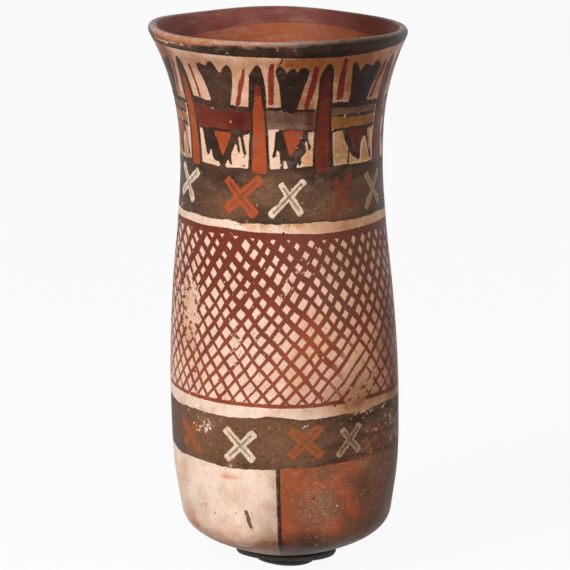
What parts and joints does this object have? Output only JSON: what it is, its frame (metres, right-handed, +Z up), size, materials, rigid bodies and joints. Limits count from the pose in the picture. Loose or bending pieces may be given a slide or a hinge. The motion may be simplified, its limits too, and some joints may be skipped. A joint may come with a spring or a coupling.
{
  "type": "pottery vase",
  "caption": "Tall painted pottery beaker with a rounded foot, gently bowed body and flared mouth, resting on a dark pressed putty support.",
  "frame": {"origin": "on the flat underside of the support, below the middle of the vessel's foot", "axes": "+Z up along the vessel, the painted side that the picture shows faces -Y, +X to the right of it"},
  "size_m": [0.0973, 0.0974, 0.2076],
  "materials": {
    "painted_clay": "burnished slip paint, worn",
    "dark_putty": "dull"
  },
  "bodies": {
    "support": {"support_pad": "dark_putty", "support_lump": "dark_putty"},
    "vessel": {"vessel": "painted_clay"}
  },
  "joints": [
    {"name": "vessel_lift", "type": "slide", "parent": "support", "child": "vessel", "axis": [0, 0, 1], "range_m": [0, 0.06]}
  ]
}
